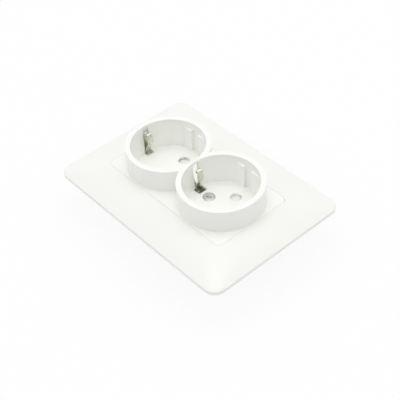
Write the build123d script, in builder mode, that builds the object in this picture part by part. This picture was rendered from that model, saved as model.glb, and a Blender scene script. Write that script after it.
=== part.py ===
from build123d import *
import math
import os

os.makedirs("parts", exist_ok=True)

# A double earthed wall socket in millimetres. The wall plane is z = 0, +Z points into the
# room and X runs through the centres of both round recesses.

# Outer frame
frame_length = 123.0
frame_width = 86.5
frame_corner_radius = 6.5
frame_corner_swell = 12.5
frame_edge_slope = 25.0
frame_inner_slope = 2.5
frame_wall = 1.8
frame_sections = 5
frame_cavity_sections = 4
frame_cavity_corner = 1.0
cut_margin = 1.0

# Insert plate with the two recesses
insert_length = 86.0
insert_width = 46.4
insert_corner_radius = 3.0
insert_gap = 0.2
insert_top_z = 6.8
insert_thickness = 2.0
ledge_thickness = 1.5
ledge_corner_radius = 21.0
ledge_clearance = 0.45
collar_wall = 1.4
foot_size = 4.0

# Round recesses
cup_spacing = 40.5
cup_rim_z = 19.7
cup_mouth_radius = 19.75
cup_outer_radius = 22.5
cup_lower_radius = 21.7
cup_depth = 17.5
cup_draft = 1.0
cup_floor_thickness = 1.4
cup_rim_bevel = 0.35
key_slot_width = 5.4
key_face_offset = 17.65
key_top_drop = 3.7
clip_shift = 0.5
clip_slot_inner = 14.9
clip_slot_width = 5.4
outer_slot_inner = 16.5
outer_slot_width = 4.4
clip_groove_width = 3.6
clip_groove_depth = 1.0
clip_groove_drop = 1.6

# Plug pins and their holes
pin_offset = 9.5
pin_hole_radius = 3.1

# Cover screws
screw_offset = 10.0
screw_head_radius = 3.1
screw_head_height = 1.1
screw_shank_radius = 1.5
screw_length = 9.0
screw_hole_extra = 1.0
screw_recess_width = 0.9
screw_recess_length = 4.0
screw_recess_depth = 0.7
head_clearance = 0.2
shank_clearance = 0.3
boss_wall = 1.7

# Shutter
shutter_toe = 3.9
shutter_ramp_top = -3.2
shutter_back = -8.5
shutter_toe_height = 0.35
shutter_arm_width = 8.2
shutter_clearance = 0.15
bridge_inner = 0.6
bridge_outer = 3.6
bridge_height = 1.4
bridge_overlap = 0.5
pocket_depth = 3.6
pocket_radius = 1.15

# Return springs
spring_radius = 0.8
spring_wire_radius = 0.15
spring_turns = 5
spring_wire_sides = 4
spring_end_gap = 0.05

# Plate under the shutters
cover_top_z = -2.5
cover_thickness = 1.6
cover_edge_clearance = 0.15
cover_pin_hole_radius = 3.0
rail_width = 1.0
rail_length = 19.0
stop_half_length = 3.5
stop_width = 4.6

# Socket base
base_length = 57.0
base_width = 49.0
base_radius = 31.0
base_back_z = -22.0
base_wall = 1.6
base_boss_radius = 3.2
trench_width = 6.8
trench_end_clearance = 1.0
trench_floor = 3.6

# Contact bars
contact_thickness = 0.7
contact_bar_thickness = 0.8
contact_width = 5.2
contact_root_offset = 3.7
contact_throat_gap = 4.7
contact_throat_z = -7.6
contact_shoulder_z = -11.0
contact_mouth_offset = 3.5
contact_top_z = -5.0
spring_clip_thickness = 0.35
spring_clip_height = 2.4
spring_clip_z = -13.0

# Terminals
terminal_x = 8.5
terminal_length = 8.0
terminal_depth = 7.0
terminal_height = 8.0
terminal_face_y = 15.5
terminal_clearance = 0.15
terminal_floor = 2.0
wire_hole_radius = 1.5
wire_hole_offset = 2.0
terminal_screw_radius = 1.6
terminal_head_radius = 2.75
terminal_head_height = 1.8
terminal_slot_width = 0.8
terminal_slot_depth = 0.8

# Earth strap and clips
strap_thickness = 0.7
strap_width = 5.2
strap_groove_clearance = 0.1
strap_wall_clearance = 0.05
strap_rise_start = 24.8
strap_rise_end = 28.4
strap_bend = 0.8
clip_thickness = 0.6
clip_width = 3.0
clip_root_offset = 18.9
clip_throat_offset = 15.6
clip_tip_offset = 16.6
clip_bend_z = 4.8
clip_throat_z = 11.0
clip_top_z = 15.0
clip_curl_radius = 0.8
clip_curl_angle = 250.0
leaf_clearance = 0.1
leaf_drop = 1.6
saddle_width = 5.0
collar_radius = 2.6
collar_length = 2.2
rivet_radius = 0.7
rivet_head_radius = 0.95
rivet_head_height = 0.6
rivet_clearance = 0.1

# Support plate
plate_length = 96.0
plate_width = 74.0
plate_corner_radius = 4.0
plate_thickness = 1.0
plate_cup_clearance = 0.5
wall_slot_spacing = 60.0
wall_slot_width = 4.2
wall_slot_length = 7.0
corner_hole_spacing_x = 84.0
corner_hole_spacing_y = 60.0
corner_hole_radius = 2.25
base_screw_offset = 17.5
base_screw_radius = 1.5
base_screw_head_radius = 2.75
base_screw_head_height = 1.8
base_screw_length = 9.0

# Sizes that follow from those above
cup_x = cup_spacing / 2
insert_bottom_z = insert_top_z - insert_thickness
ledge_bottom_z = insert_bottom_z - ledge_thickness
cup_floor_z = cup_rim_z - cup_depth
cup_under_z = cup_floor_z - cup_floor_thickness
cup_floor_radius = cup_mouth_radius - cup_depth * math.tan(math.radians(cup_draft))
window_length = insert_length + 2 * insert_gap
window_width = insert_width + 2 * insert_gap
window_radius = insert_corner_radius + insert_gap
screw_x = cup_x - screw_offset
screw_seat_z = cup_floor_z - screw_head_height
screw_hole_z = screw_seat_z - screw_length - screw_hole_extra
boss_radius = screw_shank_radius + shank_clearance + boss_wall
cover_bottom_z = cover_top_z - cover_thickness
shutter_bottom_z = cover_top_z + shutter_clearance
shutter_top_z = cup_under_z - shutter_clearance
spring_z = (shutter_bottom_z + shutter_top_z) / 2
trench_floor_z = base_back_z + trench_floor
strap_top_z = cover_top_z - strap_wall_clearance
strap_z = strap_top_z - strap_thickness / 2
strap_outer_z = strap_wall_clearance + strap_thickness / 2
leaf_x = cup_x + cup_floor_radius + clip_groove_depth - leaf_clearance - strap_thickness / 2
leaf_top_z = cup_rim_z - clip_groove_drop - leaf_drop
groove_width = strap_width + 2 * strap_groove_clearance
groove_depth = strap_thickness + strap_wall_clearance + strap_groove_clearance
terminal_bottom_z = base_back_z + terminal_floor + terminal_clearance
terminal_screw_z = terminal_bottom_z + terminal_height / 2
pocket_length = terminal_length + 2 * terminal_clearance
base_half_width = base_width / 2

# Contact bar to terminal pairs, as the side in Y and the side in X
live_terminals = (("line", 1, 1), ("neutral", -1, -1))
earth_terminal_side = (1, -1)
all_terminals = ((1, 1), (-1, -1), earth_terminal_side)


def side_plane(x, y, side):
    """A vertical plane along X whose own x axis points away from the middle of the socket."""
    return Plane(origin=(x, y, 0), x_dir=(side, 0, 0), z_dir=(0, -side, 0))


def crown_angle(share):
    """Slope of the frame's crown, in radians, at a share of the border's width."""
    outer = math.sin(math.radians(frame_edge_slope))
    inner = math.sin(math.radians(frame_inner_slope))
    return math.asin(outer + share * (inner - outer))


def clip_tongue(root_x, throat_x, tip_x, start_z, thickness, side):
    """Solid tongue of an earth clip: up to its throat and over in a curl away from the plug."""
    away = math.copysign(1, root_x - throat_x)
    middle_y = -away * side * clip_shift
    lean = math.atan2(abs(tip_x - throat_x), clip_top_z - clip_throat_z)
    curl_x = tip_x + away * clip_curl_radius * math.cos(lean)
    curl_z = clip_top_z - clip_curl_radius * math.sin(lean)
    start_angle = 180 - math.degrees(lean) if away > 0 else math.degrees(lean)
    with BuildPart() as tongue:
        with BuildSketch(side_plane(0, middle_y, side)):
            with BuildLine() as blade:
                Polyline(
                    (root_x, start_z),
                    (root_x, clip_bend_z),
                    (throat_x, clip_throat_z),
                    (tip_x, clip_top_z),
                )
            trace(blade.line, line_width=thickness)
            with BuildLine() as curl:
                CenterArc(
                    (curl_x, curl_z),
                    clip_curl_radius,
                    start_angle,
                    -away * clip_curl_angle,
                )
            trace(curl.line, line_width=thickness)
        extrude(amount=clip_width / 2, both=True)
    return tongue.part


crown_radius = (frame_width - window_width) / 2 / (
    math.sin(crown_angle(0)) - math.sin(crown_angle(1))
)
frame_edge_z = insert_top_z - crown_radius * (math.cos(crown_angle(1)) - math.cos(crown_angle(0)))


def crown_section(share, inset, drop):
    """Sketch of the frame's outline at a share of its border, moved in and down for the cavity."""
    length = frame_length + share * (window_length - frame_length) - 2 * inset
    width = frame_width + share * (window_width - frame_width) - 2 * inset
    swell = 2 * share * (1 - share) * frame_corner_swell
    radius = (1 - share) ** 2 * frame_corner_radius + swell + share**2 * window_radius
    rise = crown_radius * (math.cos(crown_angle(share)) - math.cos(crown_angle(0)))
    with BuildSketch(Plane.XY.offset(frame_edge_z + rise - drop)) as section:
        RectangleRounded(length, width, max(radius - inset, frame_cavity_corner))
    return section.sketch


def crown_sections(count, inset, drop):
    """Sections at even shares of the border, from the outer edge to the window."""
    return [crown_section(number / (count - 1), inset, drop) for number in range(count)]


outer_sections = crown_sections(frame_sections, 0, 0)
cavity_sections = crown_sections(frame_cavity_sections, frame_wall, frame_wall)

# Outer frame: a thin crowned shell with a ledge that the insert presses on
with BuildPart() as cover_frame:
    with BuildSketch():
        RectangleRounded(frame_length, frame_width, frame_corner_radius)
    extrude(amount=frame_edge_z)
    loft(outer_sections)
    with BuildSketch(Plane.XY.offset(-cut_margin)):
        RectangleRounded(
            frame_length - 2 * frame_wall,
            frame_width - 2 * frame_wall,
            frame_corner_radius - frame_wall,
        )
    extrude(amount=cut_margin + frame_edge_z - frame_wall, mode=Mode.SUBTRACT)
    loft(cavity_sections, ruled=True, mode=Mode.SUBTRACT)
    with BuildSketch(Plane.XY.offset(ledge_bottom_z)):
        RectangleRounded(
            window_length + 2 * collar_wall,
            window_width + 2 * collar_wall,
            window_radius + collar_wall,
        )
    extrude(amount=insert_top_z - frame_wall / 2 - ledge_bottom_z)
    with BuildSketch(Plane.XY.offset(insert_bottom_z)):
        RectangleRounded(window_length, window_width, window_radius)
    extrude(amount=insert_thickness + cut_margin, mode=Mode.SUBTRACT)
    with BuildSketch(Plane.XY.offset(ledge_bottom_z)):
        RectangleRounded(
            2 * (cup_x + cup_lower_radius + ledge_clearance),
            2 * (cup_lower_radius + ledge_clearance),
            ledge_corner_radius,
        )
    extrude(amount=ledge_thickness, mode=Mode.SUBTRACT)
    with BuildSketch(Plane.XY.offset(plate_thickness)):
        with GridLocations(
            window_length - foot_size - 2 * insert_corner_radius,
            window_width - foot_size + collar_wall,
            2,
            2,
        ):
            Rectangle(foot_size, foot_size)
    extrude(amount=ledge_bottom_z - plate_thickness)
cover_frame.part.label = "cover_frame"
export_step(cover_frame.part, "parts/cover_frame.step")

# Insert: plate, both cups, guide keys, clip grooves, pin holes and screw bosses in one moulding
with BuildPart() as cup_plate:
    with BuildSketch(Plane.XY.offset(insert_bottom_z)):
        RectangleRounded(insert_length, insert_width, insert_corner_radius)
    extrude(amount=insert_thickness)
    for side in (-1, 1):
        with BuildSketch(side_plane(side * cup_x, 0, side)):
            with BuildLine():
                Polyline(
                    (0, cup_under_z),
                    (cup_lower_radius, cup_under_z),
                    (cup_lower_radius, insert_bottom_z),
                    (cup_outer_radius, insert_bottom_z),
                    (cup_outer_radius, cup_rim_z - cup_rim_bevel),
                    (cup_outer_radius - cup_rim_bevel, cup_rim_z),
                    (0, cup_rim_z),
                    close=True,
                )
            make_face()
        revolve(axis=Axis((side * cup_x, 0, 0), (0, 0, 1)))
    with BuildSketch(Plane.XY.offset(cover_top_z)):
        with Locations((-screw_x, 0), (screw_x, 0)):
            Circle(boss_radius)
    extrude(amount=cup_under_z - cover_top_z)
    for side in (-1, 1):
        with BuildSketch(side_plane(side * cup_x, 0, side)):
            with BuildLine():
                Polyline(
                    (0, cup_floor_z),
                    (cup_floor_radius, cup_floor_z),
                    (cup_mouth_radius, cup_rim_z - cup_rim_bevel),
                    (cup_mouth_radius + cup_rim_bevel, cup_rim_z),
                    (0, cup_rim_z),
                    close=True,
                )
            make_face()
        revolve(axis=Axis((side * cup_x, 0, 0), (0, 0, 1)), mode=Mode.SUBTRACT)
    with BuildSketch(Plane.XY.offset(cup_floor_z)):
        for side in (-1, 1):
            with Locations((side * cup_x, 0)):
                Circle(cup_floor_radius + clip_groove_depth / 2)
                Rectangle(
                    2 * cup_outer_radius, 2 * key_face_offset, mode=Mode.SUBTRACT
                )
                Rectangle(key_slot_width, 2 * cup_outer_radius, mode=Mode.SUBTRACT)
    extrude(amount=cup_depth - key_top_drop)
    groove_reach = cup_floor_radius + clip_groove_depth
    with BuildSketch(Plane.XY.offset(cup_floor_z)):
        for side in (-1, 1):
            with Locations((side * (cup_x + groove_reach / 2), -side * clip_shift)):
                Rectangle(groove_reach, clip_groove_width)
        with Locations((0, clip_shift)):
            Rectangle(2 * (cup_x - clip_slot_inner), clip_groove_width)
    extrude(amount=cup_depth - clip_groove_drop, mode=Mode.SUBTRACT)
    clip_slots = (
        (outer_slot_inner, groove_reach, outer_slot_width, -clip_shift),
        (-cup_mouth_radius, -clip_slot_inner, clip_slot_width, clip_shift),
    )
    with BuildSketch(Plane.XY.offset(cup_under_z)):
        for side in (-1, 1):
            for slot_start, slot_end, slot_width, slot_y in clip_slots:
                slot_x = side * (cup_x + (slot_start + slot_end) / 2)
                with Locations((slot_x, side * slot_y)):
                    Rectangle(slot_end - slot_start, slot_width)
    extrude(amount=cup_floor_thickness, mode=Mode.SUBTRACT)
    with BuildSketch(Plane.XY.offset(cup_under_z)):
        with GridLocations(cup_spacing, 2 * pin_offset, 2, 2):
            Circle(pin_hole_radius)
    extrude(amount=cup_floor_thickness, mode=Mode.SUBTRACT)
    with BuildSketch(Plane.XY.offset(cover_top_z)):
        with Locations((-screw_x, 0), (screw_x, 0)):
            Circle(screw_shank_radius + shank_clearance)
    extrude(amount=cup_floor_z - cover_top_z, mode=Mode.SUBTRACT)
    with BuildSketch(Plane.XY.offset(screw_seat_z)):
        with Locations((-screw_x, 0), (screw_x, 0)):
            Circle(screw_head_radius + head_clearance)
    extrude(amount=screw_head_height, mode=Mode.SUBTRACT)
cup_plate.part.label = "cup_plate"
export_step(cup_plate.part, "parts/cup_plate.step")

# Cover screws: they draw the insert down on the earth strap
with BuildPart() as cover_screws:
    with BuildSketch(Plane.XY.offset(screw_seat_z)):
        with Locations((-screw_x, 0), (screw_x, 0)):
            Circle(screw_head_radius)
    extrude(amount=screw_head_height)
    with BuildSketch(Plane.XY.offset(screw_seat_z - screw_length)):
        with Locations((-screw_x, 0), (screw_x, 0)):
            Circle(screw_shank_radius)
    extrude(amount=screw_length)
    with BuildSketch(Plane.XY.offset(cup_floor_z)):
        with Locations((-screw_x, 0), (screw_x, 0)):
            Rectangle(screw_recess_length, screw_recess_width)
            Rectangle(screw_recess_width, screw_recess_length)
    extrude(amount=-screw_recess_depth, mode=Mode.SUBTRACT)
cover_screws.part.label = "cover_screws"
export_step(cover_screws.part, "parts/cover_screws.step")

# Shutters: a ramp under each pin hole, joined by a bridge, with a spring pocket behind
for number, side in ((1, -1), (2, 1)):
    with BuildPart() as shutter:
        for pin_side in (-1, 1):
            with BuildSketch(side_plane(side * cup_x, pin_side * pin_offset, side)):
                with BuildLine():
                    Polyline(
                        (shutter_back, shutter_bottom_z),
                        (shutter_toe, shutter_bottom_z),
                        (shutter_toe, shutter_bottom_z + shutter_toe_height),
                        (shutter_ramp_top, shutter_top_z),
                        (shutter_back, shutter_top_z),
                        close=True,
                    )
                make_face()
            extrude(amount=shutter_arm_width / 2, both=True)
        with BuildSketch(side_plane(side * cup_x, 0, side)):
            with Locations(
                ((bridge_inner + bridge_outer) / 2, shutter_bottom_z + bridge_height / 2)
            ):
                Rectangle(bridge_outer - bridge_inner, bridge_height)
        extrude(amount=pin_offset - shutter_arm_width / 2 + bridge_overlap, both=True)
        for pin_side in (-1, 1):
            pocket_x = side * (cup_x + shutter_back)
            pocket_mouth = Plane(
                origin=(pocket_x, pin_side * pin_offset, spring_z), z_dir=(side, 0, 0)
            )
            with BuildSketch(pocket_mouth):
                Circle(pocket_radius)
            extrude(amount=pocket_depth, mode=Mode.SUBTRACT)
    shutter.part.label = f"shutter_{number}"
    export_step(shutter.part, f"parts/shutter_{number}.step")

    # Return springs: a coil from the bottom of each pocket to the stop in the middle
    spring_start = stop_half_length + spring_end_gap + spring_wire_radius
    spring_end = cup_x + shutter_back + pocket_depth - spring_end_gap - spring_wire_radius
    with BuildPart() as springs:
        for pin_side in (-1, 1):
            with BuildLine() as coil:
                Helix(
                    pitch=(spring_end - spring_start) / spring_turns,
                    height=spring_end - spring_start,
                    radius=spring_radius,
                    center=(side * spring_start, pin_side * pin_offset, spring_z),
                    direction=(side, 0, 0),
                )
            with BuildSketch(Plane(origin=coil.line @ 0, z_dir=coil.line % 0)):
                RegularPolygon(spring_wire_radius, spring_wire_sides)
            sweep(path=coil.line, is_frenet=True)
    springs.part.label = f"shutter_springs_{number}"
    export_step(springs.part, f"parts/shutter_springs_{number}.step")

# Socket base: the moulding in the wall box, with trenches, terminal pockets and screw bosses
with BuildPart() as socket_base:
    with BuildSketch(Plane.XY.offset(base_back_z)):
        Rectangle(base_length, base_width)
        Circle(base_radius, mode=Mode.INTERSECT)
    extrude(amount=-base_back_z)
    with BuildSketch(Plane.XY.offset(cover_bottom_z)):
        Rectangle(base_length - 2 * base_wall, base_width - 2 * base_wall)
        Circle(base_radius - base_wall, mode=Mode.INTERSECT)
        with Locations((0, -base_screw_offset), (0, base_screw_offset)):
            Circle(base_boss_radius, mode=Mode.SUBTRACT)
    extrude(amount=-cover_bottom_z, mode=Mode.SUBTRACT)
    with BuildSketch(Plane.XY.offset(trench_floor_z)):
        with Locations((0, -pin_offset), (0, pin_offset)):
            Rectangle(
                2 * (cup_x + contact_root_offset + trench_end_clearance), trench_width
            )
    extrude(amount=cover_bottom_z - trench_floor_z, mode=Mode.SUBTRACT)
    for side_y, side_x in all_terminals:
        with BuildSketch(Plane.XY.offset(base_back_z + terminal_floor)):
            with Locations(
                (side_x * terminal_x, side_y * (terminal_face_y + base_half_width) / 2)
            ):
                Rectangle(pocket_length, base_half_width - terminal_face_y)
        extrude(amount=terminal_height + 2 * terminal_clearance, mode=Mode.SUBTRACT)
        with BuildSketch(Plane.XY.offset(base_back_z)):
            with Locations((side_x * terminal_x, side_y * (terminal_face_y + terminal_depth / 2))):
                with GridLocations(2 * wire_hole_offset, 0, 2, 1):
                    Circle(wire_hole_radius + terminal_clearance)
        extrude(amount=terminal_floor, mode=Mode.SUBTRACT)
    for name, side_y, side_x in live_terminals:
        with BuildSketch(Plane.XY.offset(trench_floor_z)):
            with Locations((side_x * terminal_x, side_y * (pin_offset + terminal_face_y) / 2)):
                Rectangle(contact_width + 2 * terminal_clearance, terminal_face_y - pin_offset)
        extrude(amount=cover_bottom_z - trench_floor_z, mode=Mode.SUBTRACT)
    side_y, side_x = earth_terminal_side
    with BuildSketch(Plane.XY.offset(terminal_screw_z)):
        with Locations(
            (side_x * terminal_x, side_y * (terminal_face_y - strap_thickness / 2))
        ):
            Rectangle(groove_width, strap_thickness + 2 * terminal_clearance)
    extrude(amount=cover_bottom_z - terminal_screw_z, mode=Mode.SUBTRACT)
    with BuildSketch(Plane.XY.offset(screw_hole_z)):
        with Locations((-screw_x, 0), (screw_x, 0)):
            Circle(collar_radius + shank_clearance)
    extrude(amount=cover_bottom_z - screw_hole_z, mode=Mode.SUBTRACT)
    with BuildSketch(Plane.XY.offset(strap_top_z - groove_depth)):
        Rectangle(base_length, groove_width)
    extrude(amount=groove_depth - strap_top_z, mode=Mode.SUBTRACT)
    with BuildSketch(Plane.XY):
        with Locations((0, -base_screw_offset), (0, base_screw_offset)):
            Circle(base_screw_radius)
    extrude(amount=-base_screw_length, mode=Mode.SUBTRACT)
socket_base.part.label = "socket_base"
export_step(socket_base.part, "parts/socket_base.step")

# Plate under the shutters, with guide rails and spring stops
with BuildPart() as contact_cover:
    with BuildSketch(Plane.XY.offset(cover_bottom_z)):
        Rectangle(
            base_length - 2 * (base_wall + cover_edge_clearance),
            base_width - 2 * (base_wall + cover_edge_clearance),
        )
        Circle(base_radius - base_wall - cover_edge_clearance, mode=Mode.INTERSECT)
        with Locations((0, -base_screw_offset), (0, base_screw_offset)):
            Circle(base_boss_radius + cover_edge_clearance, mode=Mode.SUBTRACT)
    extrude(amount=cover_thickness)
    rail_y = pin_offset + shutter_arm_width / 2 + shutter_clearance + rail_width / 2
    rail_end = cup_x + shutter_toe
    with BuildSketch(Plane.XY.offset(cover_top_z)):
        for side in (-1, 1):
            with Locations((side * (rail_end - rail_length / 2), 0)):
                with GridLocations(0, 2 * rail_y, 1, 2):
                    Rectangle(rail_length, rail_width)
        with GridLocations(0, 2 * pin_offset, 1, 2):
            Rectangle(2 * stop_half_length, stop_width)
    extrude(amount=shutter_top_z - cover_top_z)
    with BuildSketch(Plane.XY.offset(cover_bottom_z)):
        with GridLocations(cup_spacing, 2 * pin_offset, 2, 2):
            Circle(cover_pin_hole_radius)
        with Locations((-screw_x, 0), (screw_x, 0)):
            Circle(collar_radius + shank_clearance)
    extrude(amount=cover_thickness, mode=Mode.SUBTRACT)
    side_y, side_x = earth_terminal_side
    tab_end = terminal_face_y + terminal_clearance
    with BuildSketch(Plane.XY.offset(cover_top_z - groove_depth)):
        Rectangle(base_length, groove_width)
        with Locations((side_x * terminal_x, side_y * tab_end / 2)):
            Rectangle(groove_width, tab_end)
    extrude(amount=groove_depth, mode=Mode.SUBTRACT)
    slot_depth = strap_thickness + 2 * terminal_clearance
    with BuildSketch(Plane.XY.offset(cover_bottom_z)):
        with Locations((side_x * terminal_x, side_y * (tab_end - slot_depth / 2))):
            Rectangle(groove_width, slot_depth)
    extrude(amount=cover_thickness, mode=Mode.SUBTRACT)
contact_cover.part.label = "contact_cover"
export_step(contact_cover.part, "parts/contact_cover.step")

# Contact bars: a strip with a pair of gripping leaves under each pin hole
bar_z = trench_floor_z + contact_bar_thickness / 2
throat = (contact_throat_gap + contact_thickness) / 2
for name, side_y, side_x in live_terminals:
    with BuildPart() as contact_bar:
        for side in (-1, 1):
            for leaf in (-1, 1):
                with BuildSketch(side_plane(side * cup_x, side_y * pin_offset, side)):
                    with BuildLine():
                        FilletPolyline(
                            (leaf * (contact_root_offset - contact_thickness / 2), bar_z),
                            (
                                leaf * (contact_root_offset - contact_thickness / 2),
                                contact_shoulder_z,
                            ),
                            (leaf * throat, contact_throat_z),
                            (leaf * contact_mouth_offset, contact_top_z),
                            radius=strap_bend,
                        )
                    trace(line_width=contact_thickness)
                extrude(amount=contact_width / 2, both=True)
        with BuildSketch(Plane.XY.offset(trench_floor_z)):
            with Locations((0, side_y * pin_offset)):
                Rectangle(2 * (cup_x + contact_root_offset), contact_width)
            with Locations((side_x * terminal_x, side_y * (pin_offset + terminal_face_y) / 2)):
                Rectangle(contact_width, terminal_face_y - pin_offset)
        extrude(amount=contact_bar_thickness)
        with BuildSketch(Plane.XY.offset(trench_floor_z)):
            with Locations(
                (
                    side_x * terminal_x,
                    side_y * (terminal_face_y - contact_bar_thickness / 2),
                )
            ):
                Rectangle(contact_width, contact_bar_thickness)
        extrude(amount=terminal_screw_z + terminal_height / 2 - trench_floor_z)
    contact_bar.part.label = f"{name}_contact_bar"
    export_step(contact_bar.part, f"parts/{name}_contact_bar.step")

# Steel clips that press each pair of leaves together
with BuildPart() as contact_spring_clips:
    with BuildSketch(Plane.XY.offset(spring_clip_z)):
        with GridLocations(cup_spacing, 2 * pin_offset, 2, 2):
            Rectangle(
                2 * (contact_root_offset + spring_clip_thickness),
                contact_width + 2 * spring_clip_thickness,
            )
            Rectangle(2 * contact_root_offset, contact_width, mode=Mode.SUBTRACT)
    extrude(amount=-spring_clip_height)
contact_spring_clips.part.label = "contact_spring_clips"
export_step(contact_spring_clips.part, "parts/contact_spring_clips.step")

# Terminal blocks and their screws
terminal_names = {(1, 1): "line", (-1, -1): "neutral", earth_terminal_side: "earth"}
for side_y, side_x in all_terminals:
    block_y = side_y * (terminal_face_y + terminal_depth / 2)
    with BuildPart() as terminal:
        with BuildSketch(Plane.XY.offset(terminal_bottom_z)):
            with Locations((side_x * terminal_x, block_y)):
                Rectangle(terminal_length, terminal_depth)
                with GridLocations(2 * wire_hole_offset, 0, 2, 1):
                    Circle(wire_hole_radius, mode=Mode.SUBTRACT)
        extrude(amount=terminal_height)
        screw_mouth = Plane(
            origin=(
                side_x * terminal_x,
                side_y * (terminal_face_y + terminal_depth),
                terminal_screw_z,
            ),
            z_dir=(0, -side_y, 0),
        )
        with BuildSketch(screw_mouth):
            Circle(terminal_screw_radius)
        extrude(amount=terminal_depth / 2, mode=Mode.SUBTRACT)
    terminal_name = terminal_names[(side_y, side_x)]
    terminal.part.label = f"{terminal_name}_terminal"
    export_step(terminal.part, f"parts/{terminal_name}_terminal.step")

with BuildPart() as terminal_screws:
    for side_y, side_x in all_terminals:
        head_seat = Plane(
            origin=(
                side_x * terminal_x,
                side_y * (terminal_face_y + terminal_depth),
                terminal_screw_z,
            ),
            z_dir=(0, side_y, 0),
        )
        with BuildSketch(head_seat):
            Circle(terminal_head_radius)
        extrude(amount=terminal_head_height)
        with BuildSketch(head_seat):
            Circle(terminal_screw_radius)
        extrude(amount=-terminal_depth / 2)
        with BuildSketch(head_seat.offset(terminal_head_height)):
            Rectangle(2 * terminal_head_radius, terminal_slot_width)
        extrude(amount=-terminal_slot_depth, mode=Mode.SUBTRACT)
terminal_screws.part.label = "terminal_screws"
export_step(terminal_screws.part, "parts/terminal_screws.step")

# Earth strap: one strip from outer clip to outer clip, with a tab down to its terminal
with BuildPart() as earth_strap:
    for side in (-1, 1):
        with BuildSketch(side_plane(0, 0, side)):
            with BuildLine():
                FilletPolyline(
                    (0, strap_z),
                    (strap_rise_start, strap_z),
                    (strap_rise_end, strap_outer_z),
                    (leaf_x + strap_thickness / 2, strap_outer_z),
                    radius=strap_thickness / 2,
                )
            trace(line_width=strap_thickness)
        extrude(amount=strap_width / 2, both=True)
        with BuildSketch(Plane.XY.offset(strap_outer_z)):
            with Locations((side * leaf_x, -side * clip_shift)):
                Rectangle(strap_thickness, clip_width)
        extrude(amount=leaf_top_z - strap_outer_z)
        add(
            clip_tongue(
                cup_x + clip_root_offset,
                cup_x + clip_throat_offset,
                cup_x + clip_tip_offset,
                strap_outer_z,
                strap_thickness,
                side,
            )
        )
    side_y, side_x = earth_terminal_side
    with BuildSketch(Plane.XY.offset(strap_top_z)):
        with Locations((side_x * terminal_x, side_y * terminal_face_y / 2)):
            Rectangle(strap_width, terminal_face_y)
    extrude(amount=-strap_thickness)
    with BuildSketch(Plane.XY.offset(strap_top_z)):
        with Locations((side_x * terminal_x, side_y * (terminal_face_y - strap_thickness / 2))):
            Rectangle(strap_width, strap_thickness)
    extrude(amount=terminal_screw_z - strap_top_z)
    with BuildSketch(Plane.XY.offset(strap_top_z)):
        with Locations((-screw_x, 0), (screw_x, 0)):
            Circle(collar_radius)
    extrude(amount=-collar_length - strap_thickness)
    with BuildSketch(Plane.XY.offset(strap_top_z)):
        with Locations((-screw_x, 0), (screw_x, 0)):
            Circle(screw_shank_radius)
        Circle(rivet_radius)
    extrude(amount=-collar_length - strap_thickness, mode=Mode.SUBTRACT)
earth_strap.part.label = "earth_strap"
export_step(earth_strap.part, "parts/earth_strap.step")

# Centre clip: a saddle with an arm into each recess, riveted on the strap
arm_x = max(
    cup_x - clip_root_offset, rivet_head_radius + rivet_clearance + clip_thickness / 2
)
with BuildPart() as centre_earth_clip:
    with BuildSketch(Plane.XY.offset(strap_top_z)):
        Rectangle(2 * abs(arm_x) + clip_thickness, saddle_width)
        Circle(rivet_radius, mode=Mode.SUBTRACT)
    extrude(amount=clip_thickness)
    for side in (-1, 1):
        add(
            clip_tongue(
                arm_x,
                cup_x - clip_throat_offset,
                cup_x - clip_tip_offset,
                strap_top_z,
                clip_thickness,
                side,
            )
        )
centre_earth_clip.part.label = "centre_earth_clip"
export_step(centre_earth_clip.part, "parts/centre_earth_clip.step")

with BuildPart() as clip_rivet:
    with BuildSketch(Plane.XY.offset(strap_top_z - strap_thickness)):
        Circle(rivet_radius)
    extrude(amount=strap_thickness + clip_thickness)
    with BuildSketch(Plane.XY.offset(strap_top_z + clip_thickness)):
        Circle(rivet_head_radius)
    extrude(amount=rivet_head_height)
clip_rivet.part.label = "clip_rivet"
export_step(clip_rivet.part, "parts/clip_rivet.step")

# Support plate on the wall, cut out round both cups
with BuildPart() as support_plate:
    with BuildSketch():
        RectangleRounded(plate_length, plate_width, plate_corner_radius)
        with Locations((-cup_x, 0), (cup_x, 0)):
            Circle(cup_lower_radius + plate_cup_clearance, mode=Mode.SUBTRACT)
        Rectangle(
            2 * (stop_half_length + plate_cup_clearance),
            2 * pin_offset + stop_width + 2 * plate_cup_clearance,
            mode=Mode.SUBTRACT,
        )
        with GridLocations(0, wall_slot_spacing, 1, 2):
            SlotOverall(wall_slot_length, wall_slot_width, rotation=90, mode=Mode.SUBTRACT)
        with GridLocations(corner_hole_spacing_x, corner_hole_spacing_y, 2, 2):
            Circle(corner_hole_radius, mode=Mode.SUBTRACT)
        with GridLocations(0, 2 * base_screw_offset, 1, 2):
            Circle(base_screw_radius + shank_clearance / 2, mode=Mode.SUBTRACT)
    extrude(amount=plate_thickness)
support_plate.part.label = "support_plate"
export_step(support_plate.part, "parts/support_plate.step")

with BuildPart() as base_screws:
    with BuildSketch(Plane.XY.offset(plate_thickness)):
        with GridLocations(0, 2 * base_screw_offset, 1, 2):
            Circle(base_screw_head_radius)
    extrude(amount=base_screw_head_height)
    with BuildSketch(Plane.XY.offset(plate_thickness)):
        with GridLocations(0, 2 * base_screw_offset, 1, 2):
            Circle(base_screw_radius)
    extrude(amount=-base_screw_length)
    with BuildSketch(Plane.XY.offset(plate_thickness + base_screw_head_height)):
        with GridLocations(0, 2 * base_screw_offset, 1, 2):
            Rectangle(2 * base_screw_head_radius, terminal_slot_width)
    extrude(amount=-terminal_slot_depth, mode=Mode.SUBTRACT)
base_screws.part.label = "base_screws"
export_step(base_screws.part, "parts/base_screws.step")
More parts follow.
